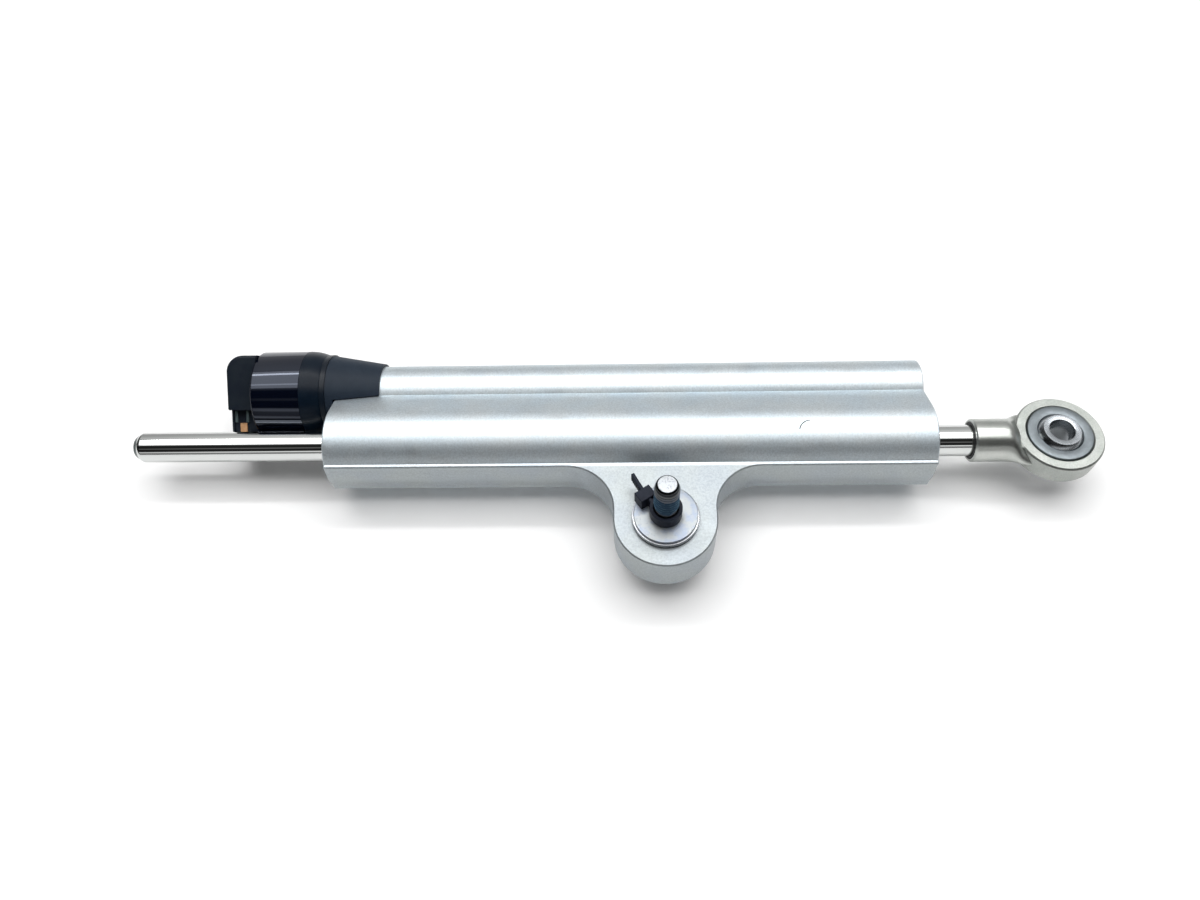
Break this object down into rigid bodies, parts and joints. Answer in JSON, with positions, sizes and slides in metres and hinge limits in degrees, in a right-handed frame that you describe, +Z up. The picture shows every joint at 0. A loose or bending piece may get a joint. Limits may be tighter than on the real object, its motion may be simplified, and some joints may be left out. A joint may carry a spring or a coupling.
{
  "type": "motorcycle steering damper",
  "caption": "Linear steering damper: a rod through a machined alloy barrel with an electric valve tube, a swivelling rod end and a bolted side lug.",
  "frame": {"origin": "centre of the rod-end ball, on the piston rod's axis", "axes": "+X along the piston rod and out of the rod-end eye, +Y from the rod to the valve tube, +Z up along the bore of the rod-end ball"},
  "size_m": [0.2484, 0.0663, 0.0342],
  "materials": {
    "anodised_body": "bead-blasted, clear anodised",
    "polished_rod": "ground and hard chromed",
    "rod_end_steel": "zinc plated, satin",
    "bearing_steel": "ground steel",
    "spacer_steel": "turned steel",
    "zinc_steel": "zinc plated",
    "tie_plastic": "black nylon",
    "seal_head_alloy": "turned",
    "bush_bronze": "turned bronze",
    "seal_rubber": "black rubber",
    "stop_rubber": "foamed elastomer",
    "spring_steel": "oiled spring steel",
    "band_plastic": "filled plastic",
    "valve_steel": "ground steel",
    "winding_wire": "enamelled copper",
    "gloss_can": "glossy black",
    "matt_collar": "matt black",
    "boot_plastic": "matt black",
    "connector_plastic": "matt black",
    "tab_plastic": "orange",
    "pin_brass": "plated contact"
  },
  "bodies": {
    "housing": {"damper_body": "anodised_body", "lug_race": "bearing_steel", "lug_retaining_rings": "spring_steel", "left_seal_head": "seal_head_alloy", "left_guide_bush": "bush_bronze", "left_rod_seal": "seal_rubber", "left_rod_wiper": "seal_rubber", "left_head_o_ring": "seal_rubber", "left_retaining_ring": "spring_steel", "left_bump_stop": "stop_rubber", "right_seal_head": "seal_head_alloy", "right_guide_bush": "bush_bronze", "right_rod_seal": "seal_rubber", "right_rod_wiper": "seal_rubber", "right_head_o_ring": "seal_rubber", "right_retaining_ring": "spring_steel", "right_bump_stop": "stop_rubber", "valve_plug": "valve_steel", "plug_o_ring": "seal_rubber", "valve_sleeve": "bush_bronze", "sleeve_o_rings": "seal_rubber", "needle_spring": "spring_steel", "coil_bobbin": "band_plastic", "coil_winding": "winding_wire", "solenoid_can": "gloss_can", "can_collar": "matt_collar", "valve_boot": "boot_plastic", "connector_housing": "connector_plastic", "connector_tab": "tab_plastic", "connector_pins": "pin_brass", "reservoir_plug": "seal_head_alloy", "reservoir_o_ring": "seal_rubber", "compensator_spring": "spring_steel"},
    "piston": {"piston": "seal_head_alloy", "piston_band": "band_plastic"},
    "rod": {"piston_rod": "polished_rod", "piston_clips": "spring_steel", "rod_end_housing": "rod_end_steel", "rod_end_race": "bearing_steel", "mouth_ring": "seal_rubber"},
    "rod_ball": {"rod_end_ball": "bearing_steel"},
    "lug_ball": {"lug_ball": "bearing_steel", "upper_spacer": "spacer_steel", "lower_spacer": "spacer_steel"},
    "bolt": {"frame_bolt": "zinc_steel", "bolt_washer": "zinc_steel", "cable_tie": "tie_plastic"},
    "valve_needle": {"valve_needle": "valve_steel", "armature": "valve_steel"},
    "compensator": {"compensator_piston": "seal_head_alloy", "compensator_o_ring": "seal_rubber"}
  },
  "joints": [
    {"name": "rod_slide", "type": "slide", "parent": "housing", "child": "piston", "axis": [1, 0, 0], "range_m": [-0.0098, 0.05]},
    {"name": "rod_spin", "type": "hinge", "parent": "piston", "child": "rod", "pos_m": [0, 0, 0], "axis": [1, 0, 0], "continuous": true},
    {"name": "rod_end_ball_tilt", "type": "hinge", "parent": "rod", "child": "rod_ball", "pos_m": [0, 0, 0], "axis": [0, 1, 0], "range_deg": [-12, 12]},
    {"name": "lug_ball_tilt", "type": "hinge", "parent": "housing", "child": "lug_ball", "pos_m": [-0.0995, -0.0246, 0], "axis": [0, 1, 0], "range_deg": [-3, 3]},
    {"name": "bolt_turn", "type": "hinge", "parent": "lug_ball", "child": "bolt", "pos_m": [-0.0995, -0.0246, 0], "axis": [0, 0, 1], "continuous": true},
    {"name": "valve_needle_slide", "type": "slide", "parent": "housing", "child": "valve_needle", "axis": [1, 0, 0], "range_m": [0, 0.0015], "stiffness_N_per_m": 400, "springref_m": -0.0005, "deforming": ["needle_spring"]},
    {"name": "compensator_slide", "type": "slide", "parent": "housing", "child": "compensator", "axis": [1, 0, 0], "range_m": [-0.002, 0.003], "stiffness_N_per_m": 300, "deforming": ["compensator_spring"]}
  ]
}
